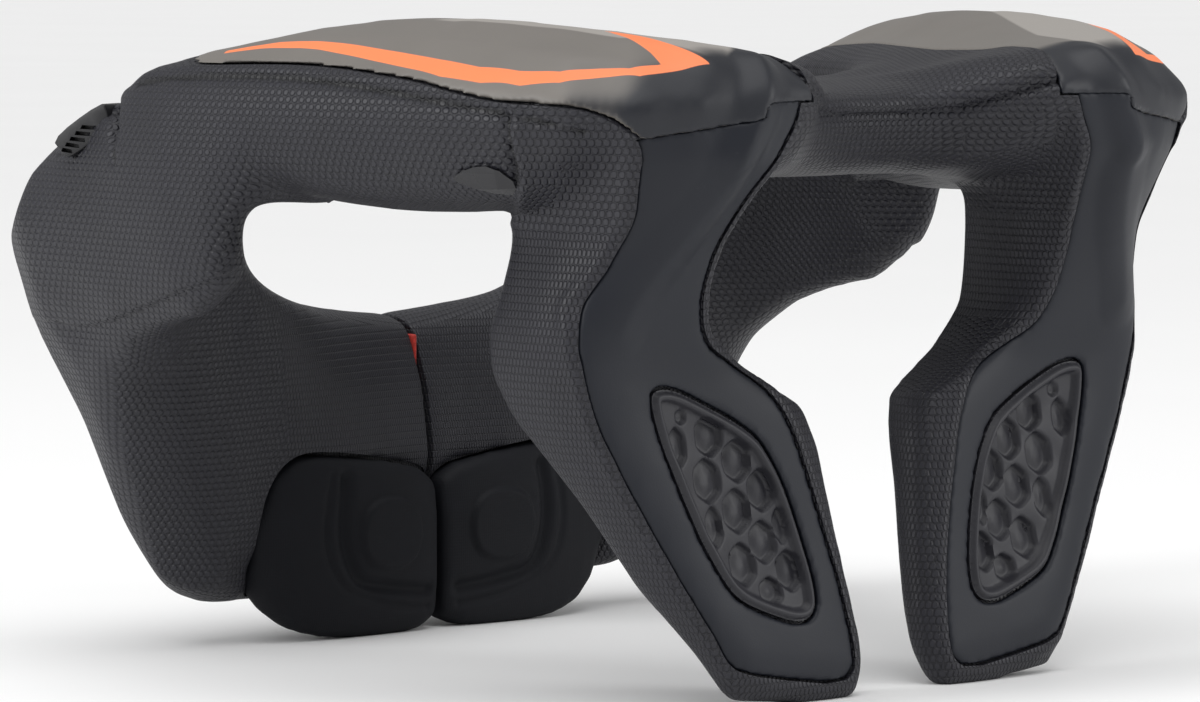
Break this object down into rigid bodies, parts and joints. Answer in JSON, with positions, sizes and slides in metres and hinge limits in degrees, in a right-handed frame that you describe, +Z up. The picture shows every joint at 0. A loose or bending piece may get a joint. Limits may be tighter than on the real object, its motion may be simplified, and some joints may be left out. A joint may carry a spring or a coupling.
{
  "type": "motocross neck brace",
  "caption": "Padded black motocross neck brace with smooth grey wings, an orange stripe, charcoal back legs with rubber inserts, and chest pads inside the bib.",
  "frame": {"origin": "on the floor, at the middle of the brace's own box seen from above", "axes": "+X is the wearer's left, -Y the wearer's front with the bib, +Y the back with the two legs, +Z up"},
  "size_m": [0.2858, 0.259, 0.1841],
  "materials": {
    "body_fabric": "matte near-black fabric with a fine embossed honeycomb",
    "panel_skin": "satin warm grey skin with an orange stripe",
    "plate_skin": "satin blue charcoal skin",
    "insert_rubber": "semi-matte black moulded rubber",
    "pad_fabric": "very dark velvety fabric with embossed lines",
    "badge_plastic": "dark glossy plastic, bare",
    "tab_webbing": "red woven tab",
    "latch_plastic": "black ribbed plastic"
  },
  "bodies": {
    "root": {"foam_front_left": "body_fabric", "foam_front_right": "body_fabric", "foam_wing_left": "body_fabric", "foam_wing_right": "body_fabric", "foam_leg_left": "body_fabric", "foam_leg_right": "body_fabric", "foam_bridge": "body_fabric", "top_panel_left": "panel_skin", "top_panel_right": "panel_skin", "leg_plate_left": "plate_skin", "leg_plate_right": "plate_skin", "leg_insert_left": "insert_rubber", "leg_insert_right": "insert_rubber", "chest_pad_left": "pad_fabric", "chest_pad_right": "pad_fabric", "side_badge_left": "badge_plastic", "side_badge_right": "badge_plastic", "closure_tab": "tab_webbing", "front_latch": "latch_plastic"}
  },
  "joints": []
}
